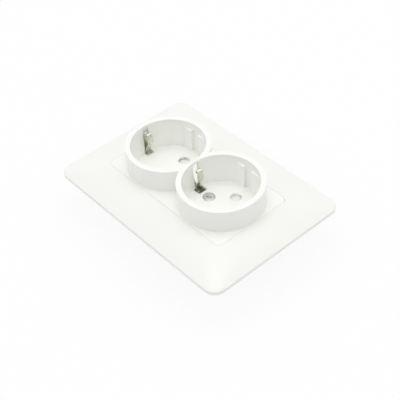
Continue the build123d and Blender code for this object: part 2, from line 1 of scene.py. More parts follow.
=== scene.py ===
# %% [markdown]
# # A double earthed wall socket
#
# The real object is a white moulded cover with two round recesses for plugs, lying face up on a
# white table. Under the cover sit a steel support plate and a moulded base with brass contacts.
# The construction model comes in first as a fixed frame: it says where every piece is. This
# script then gives the visible pieces their finished surfaces, round edges and materials.

# %% Load the frame
import math

import bmesh
import bpy
from mathutils import Matrix, Vector


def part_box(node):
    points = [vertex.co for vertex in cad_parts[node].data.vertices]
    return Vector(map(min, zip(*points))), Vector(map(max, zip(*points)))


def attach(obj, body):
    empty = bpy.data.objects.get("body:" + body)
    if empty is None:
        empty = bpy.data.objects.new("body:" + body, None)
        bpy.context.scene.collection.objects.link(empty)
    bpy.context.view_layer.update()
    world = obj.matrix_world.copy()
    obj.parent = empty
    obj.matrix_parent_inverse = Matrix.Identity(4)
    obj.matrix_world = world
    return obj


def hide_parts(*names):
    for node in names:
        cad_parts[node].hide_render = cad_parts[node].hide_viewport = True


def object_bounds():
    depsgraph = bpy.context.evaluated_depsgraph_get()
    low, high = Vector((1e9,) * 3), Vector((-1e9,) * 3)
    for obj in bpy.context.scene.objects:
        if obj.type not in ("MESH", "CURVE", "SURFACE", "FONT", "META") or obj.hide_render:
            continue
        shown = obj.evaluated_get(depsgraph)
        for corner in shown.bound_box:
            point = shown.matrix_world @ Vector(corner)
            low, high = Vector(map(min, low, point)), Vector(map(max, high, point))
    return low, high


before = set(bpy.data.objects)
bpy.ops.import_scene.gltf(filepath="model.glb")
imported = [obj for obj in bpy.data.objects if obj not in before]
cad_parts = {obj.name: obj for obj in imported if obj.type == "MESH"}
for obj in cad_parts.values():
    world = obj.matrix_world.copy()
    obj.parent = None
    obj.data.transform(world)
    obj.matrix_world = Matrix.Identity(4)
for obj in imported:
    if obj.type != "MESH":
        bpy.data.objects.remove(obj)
cad_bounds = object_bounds()
print("frame loaded:", len(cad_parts), "nodes")

# %% [markdown]
# ## Sizes
#
# Outer sizes are read from the frame, so that the new surfaces cover the same pieces. What the
# frame's boxes don't tell, such as a wall or a round edge, is a named value in metres. A round
# edge matters more than it seems: it is what catches the light and says that a part is moulded.

# %% Sizes from the frame, and the ones it doesn't tell
MM = 0.001
frame_low, frame_high = (Vector(corner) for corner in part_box("cover_frame"))
insert_low, insert_high = (Vector(corner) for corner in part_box("cup_plate"))
screws_low, screws_high = (Vector(corner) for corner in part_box("cover_screws"))

FRAME_CORNER = 6.5 * MM
FRAME_SWELL = 12.5 * MM
FRAME_EDGE_SLOPE = math.radians(25.0)
FRAME_INNER_SLOPE = math.radians(2.5)
FRAME_WALL = 1.8 * MM
FRAME_EDGE_ROUND = 0.5 * MM
INSERT_GAP = 0.1 * MM
INSERT_CORNER = 3.0 * MM
INSERT_THICKNESS = 2.0 * MM
SEAM_ROUND = 0.12 * MM
PLATE_TOP = frame_high.z

CUP_X = 20.25 * MM
CUP_MOUTH = 19.75 * MM
CUP_OUTER = 22.5 * MM
CUP_LOWER = 21.7 * MM
CUP_DEPTH = 17.5 * MM
CUP_DRAFT = math.radians(1.0)
FLOOR_THICKNESS = 1.4 * MM
RIM_ROUND = 0.45 * MM
RIM_Z = insert_high.z
FLOOR_Z = RIM_Z - CUP_DEPTH
UNDER_Z = FLOOR_Z - FLOOR_THICKNESS
CUP_FLOOR = CUP_MOUTH - CUP_DEPTH * math.tan(CUP_DRAFT)

CORNER_STEPS = 16
CIRCLE_STEPS = 160
SIDES = (-1, 1)
print("rim above the plate:", round((RIM_Z - PLATE_TOP) / MM, 2), "mm")

# %% [markdown]
# ## Shader maths as plain expressions
#
# Node trees are easier to read as sums. `Value` wraps one output socket, and its operators add
# the Math nodes. Any other node is made by one method, which takes the node's type, its settings
# and what goes into its sockets.


# %% A socket that can be added, multiplied and mixed
class Value:
    def __init__(self, tree, socket):
        self.tree = tree
        self.socket = socket

    def add_node(self, kind, settings=None, **inputs):
        """Adds a node: settings are set first, then each named socket gets a number or a link."""
        node = self.tree.nodes.new(kind)
        for key, setting in (settings or {}).items():
            setattr(node, key, setting)
        for key, given in inputs.items():
            place = int(key[1:]) if key[0] == "i" and key[1:].isdigit() else key.replace("_", " ")
            if isinstance(given, Value):
                self.tree.links.new(given.socket, node.inputs[place])
            else:
                node.inputs[place].default_value = given
        return node

    def output(self, node, name=0):
        return Value(self.tree, node.outputs[name])

    def maths(self, operation, first, second=0.0):
        node = self.add_node("ShaderNodeMath", {"operation": operation}, i0=first, i1=second)
        return self.output(node)

    def __add__(self, other):
        return self.maths("ADD", self, other)

    def __mul__(self, other):
        return self.maths("MULTIPLY", self, other)

    def clamped(self, low, high):
        node = self.add_node("ShaderNodeMapRange", {"clamp": True}, Value=self)
        node.inputs["From Min"].default_value = low
        node.inputs["From Max"].default_value = high
        return self.output(node)

    def mix_colours(self, first, second):
        """A colour between two, with this value as the share of the second."""
        node = self.add_node("ShaderNodeMix", {"data_type": "RGBA"}, i0=self, i6=first, i7=second)
        return self.output(node, 2)


def start_material(name):
    """A new material: returns it, its Principled node and the Object coordinates as a Value."""
    material = bpy.data.materials.new(name)
    material.use_nodes = True
    tree = material.node_tree
    shader = next(node for node in tree.nodes if node.type == "BSDF_PRINCIPLED")
    coordinates = tree.nodes.new("ShaderNodeTexCoord")
    return material, shader, Value(tree, coordinates.outputs["Object"])


def link(value, shader, name):
    value.tree.links.new(value.socket, shader.inputs[name])


def noise(place, scale, detail=2.0, roughness=0.5):
    node = place.add_node(
        "ShaderNodeTexNoise", None, Vector=place, Scale=scale, Detail=detail, Roughness=roughness
    )
    return place.output(node, "Fac")


def bump(height, strength, distance):
    node = height.add_node(
        "ShaderNodeBump", None, Height=height, Strength=strength, Distance=distance
    )
    return height.output(node)


print("shader helpers ready")

# %% [markdown]
# ## Glossy white plastic
#
# The cover and the insert are moulded from a hard white plastic. It is bright but not pure white,
# a little cool in its shade, with a smooth sheen. Up close a moulding is never quite flat: a
# slow waviness bends the reflections, and the faintest grain breaks them up. Handling leaves the
# sheen a little uneven, so the roughness varies slowly over the surface.


# %% Plastic finishes
CLOUD_SCALE = 28.0
SPECK_SCALE = 900.0
WAVE_SCALE = 55.0
GRAIN_SCALE = 2200.0
CLOUD_SHARE = 0.6
SHEEN_BY_CLOUD = 0.10
SHEEN_BY_SPECK = 0.05
SHEEN_START = 0.07
PLASTIC_BUMP = 0.25
PLASTIC_DEPTH = 0.12 * MM
PLASTIC_IOR = 1.52


def moulded_plastic(name, colour, shade, roughness, wave=0.35, grain=0.08):
    material, shader, place = start_material(name)
    cloud = noise(place, CLOUD_SCALE, 3.0)
    speck = noise(place, SPECK_SCALE, 2.0)
    tint = (cloud * CLOUD_SHARE + speck * (1 - CLOUD_SHARE)).mix_colours(colour, shade)
    link(tint, shader, "Base Color")
    sheen = cloud * SHEEN_BY_CLOUD + speck * SHEEN_BY_SPECK + (roughness - SHEEN_START)
    link(sheen, shader, "Roughness")
    waviness = noise(place, WAVE_SCALE, 1.0) * wave + noise(place, GRAIN_SCALE, 3.0) * grain
    link(bump(waviness, PLASTIC_BUMP, PLASTIC_DEPTH), shader, "Normal")
    shader.inputs["IOR"].default_value = PLASTIC_IOR
    return material


white_frame = moulded_plastic(
    "white_frame_plastic", (0.957, 0.963, 0.932, 1), (0.942, 0.950, 0.916, 1), 0.34
)
white_insert = moulded_plastic(
    "white_insert_plastic", (0.982, 0.990, 0.956, 1), (0.975, 0.985, 0.947, 1), 0.30
)
shutter_white = moulded_plastic(
    "shutter_plastic", (0.95, 0.95, 0.93, 1), (0.92, 0.92, 0.90, 1), 0.45
)
base_grey = moulded_plastic(
    "base_plastic", (0.72, 0.72, 0.69, 1), (0.66, 0.66, 0.63, 1), 0.5, grain=0.3
)
inner_grey = moulded_plastic(
    "inner_plastic", (0.80, 0.81, 0.79, 1), (0.74, 0.75, 0.73, 1), 0.5, grain=0.3
)
print("plastics:", white_frame.name, white_insert.name)

# %% [markdown]
# ## Metals
#
# The clips are plated strip, the screws and the support plate are zinc plated steel, and the
# contacts are bare brass. Rolled strip has fine lines along its length, which a stretched noise
# gives, and plating is slightly blotchy.


# %% Metal finishes
BLOTCH_SCALE = 260.0
BLOTCH_LOW = 0.35
BLOTCH_HIGH = 0.75
DULL_BY_STREAK = 0.18
DULL_BY_BLOTCH = 0.12
DULL_START = 0.15
BLOTCH_BUMP = 0.4
METAL_BUMP = 0.3
METAL_DEPTH = 0.04 * MM


def plated_metal(name, colour, stain, roughness, stretch=(60.0, 3000.0, 60.0), lines=0.3):
    material, shader, place = start_material(name)
    mapping = place.add_node("ShaderNodeMapping", None, Vector=place, Scale=stretch)
    along = place.output(mapping)
    streak = noise(along, 1.0, 3.0)
    blotch = noise(place, BLOTCH_SCALE, 3.0)
    stained = blotch.clamped(BLOTCH_LOW, BLOTCH_HIGH)
    link(stained.mix_colours(colour, stain), shader, "Base Color")
    dull = streak * DULL_BY_STREAK + blotch * DULL_BY_BLOTCH + (roughness - DULL_START)
    link(dull, shader, "Roughness")
    link(bump(streak * lines + blotch * BLOTCH_BUMP, METAL_BUMP, METAL_DEPTH), shader, "Normal")
    shader.inputs["Metallic"].default_value = 1.0
    return material


clip_metal = plated_metal("plated_clip", (0.82, 0.82, 0.74, 1), (0.55, 0.54, 0.43, 1), 0.30)
contact_brass = plated_metal("contact_brass", (0.80, 0.60, 0.28, 1), (0.62, 0.44, 0.20, 1), 0.35)
screw_zinc = plated_metal(
    "zinc_screw", (0.80, 0.81, 0.81, 1), (0.60, 0.61, 0.61, 1), 0.36, (400.0, 400.0, 400.0)
)
plate_zinc = plated_metal(
    "zinc_plate", (0.70, 0.71, 0.71, 1), (0.55, 0.56, 0.57, 1), 0.42, (2500.0, 50.0, 50.0)
)
spring_wire = plated_metal("spring_wire", (0.60, 0.60, 0.60, 1), (0.42, 0.42, 0.42, 1), 0.35)
print("metals:", clip_metal.name, screw_zinc.name)

# %% [markdown]
# ## From a bmesh to a piece
#
# Each new piece is shaped in a bmesh and turned into an object that sits at the origin, with its
# place in its mesh. Doubles are merged and the normals turned outwards first. Edges sharper than
# a limit are marked, so the rest can be shaded smooth.

# %% Turning a bmesh into a finished piece
MERGE = 0.002 * MM
SHARP = math.radians(32)


def raw_object(name, bm):
    """A plain object from a closed bmesh."""
    bmesh.ops.remove_doubles(bm, verts=bm.verts, dist=MERGE)
    bmesh.ops.recalc_face_normals(bm, faces=bm.faces)
    mesh = bpy.data.meshes.new(name)
    bm.to_mesh(mesh)
    bm.free()
    piece = bpy.data.objects.new(name, mesh)
    bpy.context.scene.collection.objects.link(piece)
    return piece


def shade(piece, material, limit=SHARP):
    """Smooth shading with sharp edges kept, and one material."""
    bm = bmesh.new()
    bm.from_mesh(piece.data)
    for face in bm.faces:
        face.smooth = True
        face.material_index = 0
    for edge in bm.edges:
        edge.smooth = len(edge.link_faces) == 2 and edge.calc_face_angle(0) < limit
    bm.to_mesh(piece.data)
    bm.free()
    piece.data.materials.clear()
    piece.data.materials.append(material)


def dress(piece, material, slot, body, *nodes):
    """Finishes a piece: shading, material, the body it rides on and the nodes it stands for."""
    shade(piece, material)
    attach(piece, body)
    if nodes:
        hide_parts(*nodes)
    print(piece.name, "faces:", len(piece.data.polygons))


def combine(target, tool, operation):
    """Joins, cuts or intersects the target with a tool, which is used up."""
    modifier = target.modifiers.new("combine", "BOOLEAN")
    modifier.operation = operation
    modifier.solver = "EXACT"
    modifier.object = tool
    depsgraph = bpy.context.evaluated_depsgraph_get()
    made = bpy.data.meshes.new_from_object(target.evaluated_get(depsgraph))
    target.modifiers.clear()
    old = target.data
    target.data = made
    bpy.data.meshes.remove(old)
    bpy.data.objects.remove(tool)


print("piece helpers ready")

# %% [markdown]
# ## A skin of rounded outlines
#
# The cover frame is a closed skin: seen in section it is one outline that runs up the skirt,
# over the crown, down into the window and back underneath. Each point of that section is a
# rounded rectangle going once round the frame. A ring of edges is extruded from one to the
# next, and every new ring is laid on its own rounded rectangle.


# %% Rings and rounded outlines
RING_STEPS = 4 * (CORNER_STEPS + 1)


def lay_ring(ring, length, width, radius, z):
    """Lays a ring of vertices on a rounded rectangle."""
    for index, vert in enumerate(ring):
        corner, step = divmod(index, CORNER_STEPS + 1)
        angle = (corner + step / CORNER_STEPS) * math.pi / 2
        to_x = 1 if corner in (0, 3) else -1
        to_y = 1 if corner in (0, 1) else -1
        x = to_x * (length / 2 - radius) + radius * math.cos(angle)
        y = to_y * (width / 2 - radius) + radius * math.sin(angle)
        vert.co = (x, y, z)


def ring_edges(ring):
    return [
        next(edge for edge in vert.link_edges if edge.other_vert(vert) is after)
        for vert, after in zip(ring, ring[1:] + ring[:1])
    ]


def grow_ring(bm, ring):
    """Extrudes a ring and returns the new one in the same order."""
    grown = bmesh.ops.extrude_edge_only(bm, edges=ring_edges(ring))["geom"]
    new = {one for one in grown if isinstance(one, bmesh.types.BMVert)}
    return [
        next(edge.other_vert(vert) for edge in vert.link_edges if edge.other_vert(vert) in new)
        for vert in ring
    ]


def skin(name, outlines, closed=True):
    """A skin through a list of outlines (length, width, corner radius, height)."""
    bm = bmesh.new()
    first = bmesh.ops.create_circle(bm, cap_ends=False, radius=1, segments=RING_STEPS)["verts"]
    lay_ring(first, *outlines[0])
    ring = first
    for shape in outlines[1:]:
        ring = grow_ring(bm, ring)
        lay_ring(ring, *shape)
    if closed:
        bmesh.ops.bridge_loops(bm, edges=ring_edges(first) + ring_edges(ring))
    else:
        for end in (first, ring):
            bmesh.ops.contextual_create(bm, geom=ring_edges(end))
    return raw_object(name, bm)


def quarter(steps):
    """Angles through a quarter turn, with both ends."""
    return [math.pi / 2 * step / steps for step in range(steps + 1)]


print("each outline has", RING_STEPS, "points")

# %% [markdown]
# ## Cover frame
#
# A shallow crown: about 25 degrees steep where it leaves the skirt and almost level where it
# meets the insert, the arc of a large circle. Its corner radius swells on the way in and
# tightens again at the window, which is what makes the soft diagonal ridges at the corners.

# %% The crowned frame
WINDOW_LENGTH = 2 * insert_high.x + 2 * INSERT_GAP
WINDOW_WIDTH = 2 * insert_high.y + 2 * INSERT_GAP
WINDOW_CORNER = INSERT_CORNER + INSERT_GAP
LEDGE_TOP = PLATE_TOP - INSERT_THICKNESS
LEDGE_BOTTOM = LEDGE_TOP - 1.5 * MM
LEDGE_CORNER = 21.0 * MM
LEDGE_CLEARANCE = 0.45 * MM
COLLAR_WALL = 1.4 * MM
COLLAR_REACH = 0.1 * MM
LOWER_ROUND = 0.2 * MM
CROWN_STEPS = 18
EDGE_STEPS = 4
UNDERSIDE_STEPS = 8
UNDERSIDE_SHARE = 0.88


def crown_slope(share):
    steep = math.sin(FRAME_EDGE_SLOPE)
    level = math.sin(FRAME_INNER_SLOPE)
    return math.asin(steep + share * (level - steep))


BORDER = frame_high.y - WINDOW_WIDTH / 2
CROWN_RADIUS = BORDER / (math.sin(crown_slope(0)) - math.sin(crown_slope(1)))
EDGE_Z = PLATE_TOP - CROWN_RADIUS * (math.cos(crown_slope(1)) - math.cos(crown_slope(0)))


def crown_outline(share, inset=0.0, drop=0.0):
    """The frame's outline at a share of its border, moved in and down by a wall."""
    length = 2 * frame_high.x + share * (WINDOW_LENGTH - 2 * frame_high.x) - 2 * inset
    width = 2 * frame_high.y + share * (WINDOW_WIDTH - 2 * frame_high.y) - 2 * inset
    swell = 2 * share * (1 - share) * FRAME_SWELL
    radius = (1 - share) ** 2 * FRAME_CORNER + swell + share**2 * WINDOW_CORNER
    rise = CROWN_RADIUS * (math.cos(crown_slope(share)) - math.cos(crown_slope(0)))
    return length, width, max(radius - inset, MM), EDGE_Z + rise - drop


def grown_outline(length, width, radius, grow, z):
    """An outline moved out all round."""
    return length + 2 * grow, width + 2 * grow, radius + grow, z


def frame_section():
    """The frame's section, from the outer lower edge over the crown and back below."""
    edge = (2 * frame_high.x, 2 * frame_high.y, FRAME_CORNER)
    window = (WINDOW_LENGTH, WINDOW_WIDTH, WINDOW_CORNER)
    section = []
    for angle in quarter(2):
        inset = LOWER_ROUND * (1 - math.sin(angle))
        section.append(grown_outline(*edge, -inset, LOWER_ROUND * (1 - math.cos(angle))))
    turn = math.pi / 2 - FRAME_EDGE_SLOPE
    reach = FRAME_EDGE_ROUND * math.tan(turn / 2)
    for step in range(EDGE_STEPS + 1):
        angle = turn * step / EDGE_STEPS
        inset = FRAME_EDGE_ROUND * (1 - math.cos(angle))
        height = EDGE_Z - reach + FRAME_EDGE_ROUND * math.sin(angle)
        section.append(grown_outline(*edge, -inset, height))
    first = reach * math.cos(FRAME_EDGE_SLOPE) / BORDER
    last = 1 - SEAM_ROUND / BORDER
    for step in range(1, CROWN_STEPS + 1):
        section.append(crown_outline(first + (last - first) * step / CROWN_STEPS))
    for angle in quarter(3)[1:]:
        grow = SEAM_ROUND * (1 - math.sin(angle))
        height = PLATE_TOP - SEAM_ROUND * (1 - math.cos(angle))
        section.append(grown_outline(*window, grow, height))
    opening = (
        2 * (CUP_X + CUP_LOWER + LEDGE_CLEARANCE),
        2 * (CUP_LOWER + LEDGE_CLEARANCE),
        LEDGE_CORNER,
    )
    section.append((*window, LEDGE_TOP))
    section.append((*opening, LEDGE_TOP))
    section.append((*opening, LEDGE_BOTTOM))
    section.append(grown_outline(*window, COLLAR_WALL, LEDGE_BOTTOM))
    section.append(grown_outline(*window, COLLAR_WALL, PLATE_TOP - FRAME_WALL - COLLAR_REACH))
    for step in range(UNDERSIDE_STEPS, -1, -1):
        share = UNDERSIDE_SHARE * step / UNDERSIDE_STEPS
        section.append(crown_outline(share, FRAME_WALL, FRAME_WALL))
    section.append(grown_outline(*edge, -FRAME_WALL, 0))
    return section


cover = skin("cover_frame_shell", frame_section())
dress(cover, white_frame, "frame_plastic", "housing", "cover_frame")

# %% [markdown]
# ## Insert with two recesses
#
# On the real part this is one moulding. Here it is joined from the shapes that a toolmaker would
# think of: a plate and two cups are added together, and the recesses are cut out of them. Round
# edges are bevelled on the single shapes first, and the rims once everything is joined.


# %% Solid shapes for joining and cutting
def cylinder(bm, x, y, low_radius, high_radius, low_z, high_z, steps=CIRCLE_STEPS):
    centre = Matrix.Translation((x, y, (low_z + high_z) / 2))
    return bmesh.ops.create_cone(
        bm,
        cap_ends=True,
        segments=steps,
        radius1=low_radius,
        radius2=high_radius,
        depth=high_z - low_z,
        matrix=centre,
    )["verts"]


def block(bm, low, high):
    """A box between two corners."""
    low, high = Vector(low), Vector(high)
    verts = bmesh.ops.create_cube(bm, size=1)["verts"]
    bmesh.ops.scale(bm, vec=high - low, verts=verts)
    bmesh.ops.translate(bm, vec=(low + high) / 2, verts=verts)
    return verts


def round_edges(bm, offset, segments, choose):
    """Bevels the edges that a test chooses."""
    edges = [edge for edge in bm.edges if choose(edge)]
    bmesh.ops.bevel(
        bm,
        geom=edges,
        offset=offset,
        offset_type="OFFSET",
        segments=segments,
        profile=0.5,
        affect="EDGES",
        clamp_overlap=True,
        material=-1,
    )


def at_height(edge, z, tolerance=0.01 * MM):
    return all(abs(vert.co.z - z) < tolerance for vert in edge.verts)


def is_sharp(edge):
    return len(edge.link_faces) == 2 and edge.calc_face_angle(0) > SHARP


def slab():
    """The insert's plate, with its upper edge rounded."""
    edge = (2 * insert_high.x, 2 * insert_high.y, INSERT_CORNER)
    section = [(*edge, LEDGE_TOP)]
    for angle in quarter(3):
        inset = SEAM_ROUND * (1 - math.cos(angle))
        height = PLATE_TOP - SEAM_ROUND * (1 - math.sin(angle))
        section.append(grown_outline(*edge, -inset, height))
    return skin("insert_shell", section, closed=False)


CUP_START = LEDGE_TOP + 0.3 * MM
insert = slab()
for side in SIDES:
    bm = bmesh.new()
    cylinder(bm, side * CUP_X, 0, CUP_OUTER, CUP_OUTER, CUP_START, RIM_Z)
    combine(insert, raw_object("cup", bm), "UNION")
    bm = bmesh.new()
    cylinder(bm, side * CUP_X, 0, CUP_LOWER, CUP_LOWER, UNDER_Z, LEDGE_TOP + MM)
    combine(insert, raw_object("cup_bottom", bm), "UNION")
print("insert joined:", len(insert.data.polygons), "faces")

# %% [markdown]
# ## The recesses
#
# Each recess is slightly conical, so that the moulding leaves its tool. The cutter is that cone.
# Guide keys stay standing on both long sides: flat-faced pads that end below the rim, each with
# a slot in its middle. They are the ends of a disc cut off by a plane, so bisecting a cylinder
# gives them exactly.

# %% Cut the recesses and add the guide keys
KEY_FACE = 17.65 * MM
KEY_SLOT = 5.4 * MM
KEY_TOP = RIM_Z - 3.7 * MM
KEY_ROUND = 0.25 * MM
KEY_INTO_WALL = 0.8 * MM
KEY_INTO_FLOOR = 0.3 * MM
CUT_OVER = 2 * MM


def keep_side(bm, point, normal):
    """Cuts a closed shape with a plane, keeps what lies along the normal and closes the cut."""
    geom = bm.verts[:] + bm.edges[:] + bm.faces[:]
    cut = bmesh.ops.bisect_plane(
        bm, geom=geom, dist=1e-7, plane_co=point, plane_no=normal, clear_inner=True
    )["geom_cut"]
    edges = [one for one in cut if isinstance(one, bmesh.types.BMEdge)]
    bmesh.ops.contextual_create(bm, geom=edges)


def key_pad(x, along, across):
    """One half of a guide key."""
    bm = bmesh.new()
    reach = CUP_FLOOR + KEY_INTO_WALL
    cylinder(bm, x, 0, reach, reach, FLOOR_Z - KEY_INTO_FLOOR, KEY_TOP)
    keep_side(bm, (x, across * KEY_FACE, 0), (0, across, 0))
    keep_side(bm, (x + along * KEY_SLOT / 2, 0, 0), (along, 0, 0))
    round_edges(bm, KEY_ROUND, 3, is_sharp)
    return raw_object("key", bm)


for side in SIDES:
    bm = bmesh.new()
    widen = CUT_OVER * math.tan(CUP_DRAFT)
    cylinder(bm, side * CUP_X, 0, CUP_FLOOR, CUP_MOUTH + widen, FLOOR_Z, RIM_Z + CUT_OVER)
    combine(insert, raw_object("recess", bm), "DIFFERENCE")
for side in SIDES:
    for along in SIDES:
        for across in SIDES:
            combine(insert, key_pad(side * CUP_X, along, across), "UNION")
print("recesses cut:", len(insert.data.polygons), "faces")

# %% [markdown]
# ## Slots, holes and grooves
#
# Each outer wall has a narrow groove, in which a leaf of the earth strap stands, and a gap in the
# web between the recesses leaves room for the centre clip. The clips of one recess don't stand
# opposite each other: each is set a little to its own side. The floor has a slot for each clip,
# two pin holes and a sunk seat for the cover screw.

# %% Cut the slots and holes
CLIP_SHIFT = 0.5 * MM
CLIP_SLOT = 5.4 * MM
CLIP_SLOT_INNER = 14.9 * MM
OUTER_SLOT = 4.4 * MM
OUTER_SLOT_INNER = 16.5 * MM
GROOVE_WIDTH = 3.6 * MM
CLIP_GROOVE = 1.0 * MM
CLIP_GROOVE_DROP = 1.6 * MM
GROOVE_ROUND = 0.25 * MM
PIN_OFFSET = 9.5 * MM
PIN_HOLE = 3.1 * MM
SCREW_X = 10.25 * MM
SCREW_SEAT = 3.3 * MM
SCREW_SEAT_DEPTH = 1.1 * MM
OVERCUT = 0.01 * MM


def cut_groove(low_x, high_x, y):
    half = GROOVE_WIDTH / 2
    top = RIM_Z - CLIP_GROOVE_DROP
    bm = bmesh.new()
    block(bm, (low_x, y - half, FLOOR_Z + OVERCUT), (high_x, y + half, top))
    round_edges(bm, GROOVE_ROUND, 3, lambda edge: at_height(edge, top))
    combine(insert, raw_object("groove", bm), "DIFFERENCE")


def cut_slot(first_x, second_x, y, width):
    low = (min(first_x, second_x), y - width / 2, UNDER_Z - MM)
    high = (max(first_x, second_x), y + width / 2, FLOOR_Z + 2 * OVERCUT)
    bm = bmesh.new()
    block(bm, low, high)
    combine(insert, raw_object("slot", bm), "DIFFERENCE")


def cut_holes(side):
    for across in SIDES:
        bm = bmesh.new()
        y = across * PIN_OFFSET
        cylinder(bm, side * CUP_X, y, PIN_HOLE, PIN_HOLE, UNDER_Z - MM, FLOOR_Z + MM, 64)
        combine(insert, raw_object("pin_hole", bm), "DIFFERENCE")
    bm = bmesh.new()
    seat = FLOOR_Z - SCREW_SEAT_DEPTH
    cylinder(bm, side * SCREW_X, 0, SCREW_SEAT, SCREW_SEAT, seat, FLOOR_Z + MM, 64)
    combine(insert, raw_object("screw_seat", bm), "DIFFERENCE")


GROOVE_END = CUP_FLOOR + CLIP_GROOVE
cut_groove(CLIP_SLOT_INNER - CUP_X, CUP_X - CLIP_SLOT_INNER, CLIP_SHIFT)
for side in SIDES:
    x = side * CUP_X
    out_x = side * (CUP_X + GROOVE_END)
    cut_groove(min(x, out_x), max(x, out_x), -side * CLIP_SHIFT)
    cut_slot(x + side * OUTER_SLOT_INNER, out_x, -side * CLIP_SHIFT, OUTER_SLOT)
    cut_slot(x - side * CLIP_SLOT_INNER, x - side * CUP_MOUTH, side * CLIP_SHIFT, CLIP_SLOT)
    cut_holes(side)
print("slots and holes cut:", len(insert.data.polygons), "faces")

# %% [markdown]
# ## Round the rims
#
# The rims are bevelled last, because where the two cups run together their outline only exists
# once they are joined.

# %% Round the rims and finish the insert
FLAT_ENOUGH = math.radians(0.2)
bm = bmesh.new()
bm.from_mesh(insert.data)
bmesh.ops.remove_doubles(bm, verts=bm.verts, dist=MERGE)
bmesh.ops.dissolve_limit(
    bm, angle_limit=FLAT_ENOUGH, verts=bm.verts, edges=bm.edges, delimit={"NORMAL"}
)
round_edges(bm, RIM_ROUND, 4, lambda edge: at_height(edge, RIM_Z) and is_sharp(edge))
bm.to_mesh(insert.data)
bm.free()
dress(insert, white_insert, "insert_plastic", "housing", "cup_plate")

# %% [markdown]
# ## Earth clips
#
# A clip is a strip of springy metal, bent on a press. The same is done here: an edge as wide as
# the strip is pushed forward for each straight run and spun round a centre for each bend, as a
# press brake does it. Solidify then gives the strip its thickness, and Bevel breaks its edges.

# %% Bending strip
BEND_STEPS = 7
STRIP_EDGE = 0.08 * MM


class Strip:
    """A strip in the XZ plane that grows from an edge by straight runs and bends."""

    def __init__(self, x, z, heading, width):
        self.bm = bmesh.new()
        made = bmesh.ops.create_grid(self.bm, x_segments=1, y_segments=1, size=width / 2)
        kept = [edge for edge in self.bm.edges if all(v.co.x > 0 for v in edge.verts)]
        gone = [vert for vert in made["verts"] if vert.co.x < 0]
        bmesh.ops.delete(self.bm, geom=gone, context="VERTS")
        self.edge = kept[0]
        bmesh.ops.translate(self.bm, vec=(x - width / 2, 0, z), verts=self.bm.verts)
        self.heading = heading

    def forward(self, distance):
        grown = bmesh.ops.extrude_edge_only(self.bm, edges=[self.edge])["geom"]
        verts = [one for one in grown if isinstance(one, bmesh.types.BMVert)]
        step = Vector((math.cos(self.heading), 0, math.sin(self.heading))) * distance
        bmesh.ops.translate(self.bm, vec=step, verts=verts)
        self.edge = next(one for one in grown if isinstance(one, bmesh.types.BMEdge))

    def bend(self, turn, radius, steps=BEND_STEPS):
        """Turns by an angle, positive from +X towards +Z."""
        side = math.copysign(1, turn)
        across = Vector((-math.sin(self.heading), 0, math.cos(self.heading))) * side
        start = (self.edge.verts[0].co + self.edge.verts[1].co) / 2
        made = bmesh.ops.spin(
            self.bm,
            geom=[self.edge] + list(self.edge.verts),
            cent=start + across * radius,
            axis=(0, -1, 0),
            angle=turn,
            steps=steps,
            use_merge=False,
            use_duplicate=False,
        )["geom_last"]
        self.edge = next(one for one in made if isinstance(one, bmesh.types.BMEdge))
        self.heading += turn

    def through(self, points, radius):
        """Straight runs from the last point through the others, every corner bent."""
        runs = [
            Vector((after[0] - before[0], 0, after[1] - before[1]))
            for before, after in zip(points, points[1:])
        ]
        headings = [math.atan2(run.z, run.x) for run in runs]
        trim = 0
        for number, run in enumerate(runs):
            turn = 0
            if number + 1 < len(runs):
                turn = (headings[number + 1] - headings[number] + math.pi) % math.tau - math.pi
            ahead = radius * abs(math.tan(turn / 2))
            self.forward(run.length - trim - ahead)
            if turn:
                self.bend(turn, radius)
            trim = ahead
        return self

    def finish(self, name, thickness):
        piece = raw_object(name, self.bm)
        thick = piece.modifiers.new("thickness", "SOLIDIFY")
        thick.thickness = thickness
        thick.offset = 0
        soft = piece.modifiers.new("edges", "BEVEL")
        soft.width = STRIP_EDGE
        soft.segments = 2
        soft.limit_method = "ANGLE"
        return piece


def start_strip(points, width):
    """A strip that starts at the first point, heading for the second."""
    (x, z), (next_x, next_z) = points[:2]
    return Strip(x, z, math.atan2(next_z - z, next_x - x), width)


print("strip helpers ready")

# %% [markdown]
# ## Tongues, saddle and strap
#
# Each clip ends in a tongue that leans in to the plug and curls over at the top, so that a plug
# slides past it. The outer tongues belong to the long earth strap under the floor, and the two
# in the middle to a saddle riveted on that strap. A foot under each middle slot in the floor is a
# guess at the metal that the photo shows there.

# %% Bend the clips
CLIP_WIDTH = 3.0 * MM
SADDLE_WIDTH = 5.0 * MM
CLIP_THICKNESS = 0.6 * MM
STRAP_WIDTH = 5.2 * MM
STRAP_THICKNESS = 0.7 * MM
STRAP_Z = -2.9 * MM
STRAP_OUTER_Z = 0.4 * MM
RISE_START = 24.8 * MM
RISE_END = 28.4 * MM
ROOT_OFFSET = 18.9 * MM
BEND_Z = 4.8 * MM
THROAT_OFFSET = 15.6 * MM
THROAT_Z = 11.0 * MM
TIP_OFFSET = 16.6 * MM
TIP_Z = 15.0 * MM
CURL_RADIUS = 0.8 * MM
CURL_TURN = math.radians(250)
CURL_STEPS = 20
TONGUE_BEND = 1.2 * MM
LEAF_CLEARANCE = 0.1 * MM
LEAF_DROP = 2.6 * MM
LEAF_X = CUP_X + GROOVE_END - LEAF_CLEARANCE - STRAP_THICKNESS / 2
LEAF_TOP = RIM_Z - CLIP_GROOVE_DROP - LEAF_DROP


def upright(name, points, y, thickness, curl=0.0):
    """A standing strip through points in the XZ plane, moved to its place across."""
    strip = start_strip(points, CLIP_WIDTH).through(points, TONGUE_BEND)
    if curl:
        strip.bend(curl, CURL_RADIUS, CURL_STEPS)
    bmesh.ops.translate(strip.bm, vec=(0, y, 0), verts=strip.bm.verts)
    piece = strip.finish(name, thickness)
    dress(piece, clip_metal, "earth_brass", "housing")


